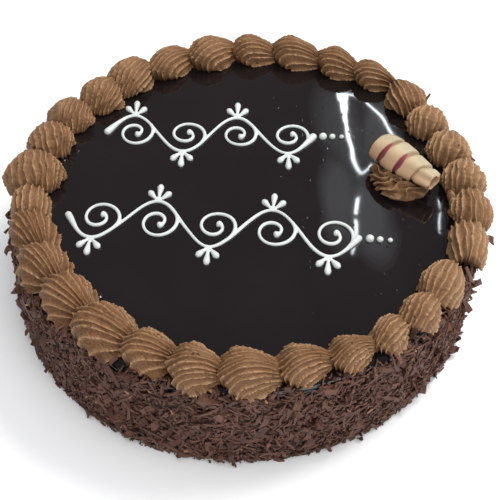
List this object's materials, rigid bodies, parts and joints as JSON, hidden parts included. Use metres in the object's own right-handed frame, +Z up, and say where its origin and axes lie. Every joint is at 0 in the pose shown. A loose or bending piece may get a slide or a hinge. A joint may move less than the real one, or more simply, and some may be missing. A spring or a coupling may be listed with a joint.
{
  "type": "birthday cake",
  "caption": "Round chocolate glazed cake with shavings pressed on its side, a border of piped shells, white piped scrollwork and a rosette with a chocolate roll.",
  "frame": {"origin": "centre of the cake's flat base, on its axis", "axes": "+Z up along the cake's axis; +X to the right and -Y towards the viewer of the picture, so the rosette lies on the +X side"},
  "size_m": [0.2567, 0.2518, 0.0781],
  "materials": {
    "sponge": "dry crumb of chocolate sponge",
    "glaze": "poured mirror gloss",
    "shavings": "matt chocolate flakes, satin where broken",
    "buttercream": "piped whipped cream, soft satin",
    "white_icing": "piped icing, soft satin",
    "pale_chocolate": "waxy satin"
  },
  "bodies": {
    "root": {"shell_left_01": "buttercream", "shell_left_02": "buttercream", "shell_left_03": "buttercream", "shell_left_04": "buttercream", "shell_left_05": "buttercream", "shell_left_06": "buttercream", "shell_left_07": "buttercream", "shell_left_08": "buttercream", "shell_left_09": "buttercream", "shell_left_10": "buttercream", "shell_left_11": "buttercream", "shell_left_12": "buttercream", "shell_left_13": "buttercream", "shell_left_14": "buttercream", "shell_left_15": "buttercream", "shell_left_16": "buttercream", "shell_left_17": "buttercream", "shell_left_18": "buttercream", "shell_right_01": "buttercream", "shell_right_02": "buttercream", "shell_right_03": "buttercream", "shell_right_04": "buttercream", "shell_right_05": "buttercream", "shell_right_06": "buttercream", "shell_right_07": "buttercream", "shell_right_08": "buttercream", "shell_right_09": "buttercream", "shell_right_10": "buttercream", "shell_right_11": "buttercream", "shell_right_12": "buttercream", "chocolate_roll": "pale_chocolate", "rosette": "buttercream", "piping_upper": "white_icing", "piping_upper_dot_1": "white_icing", "piping_upper_dot_2": "white_icing", "piping_upper_dot_3": "white_icing", "piping_lower": "white_icing", "piping_lower_dot_1": "white_icing", "piping_lower_dot_2": "white_icing", "piping_lower_dot_3": "white_icing", "cake": "sponge", "glaze": "glaze", "flake_coat": "shavings"}
  },
  "joints": []
}
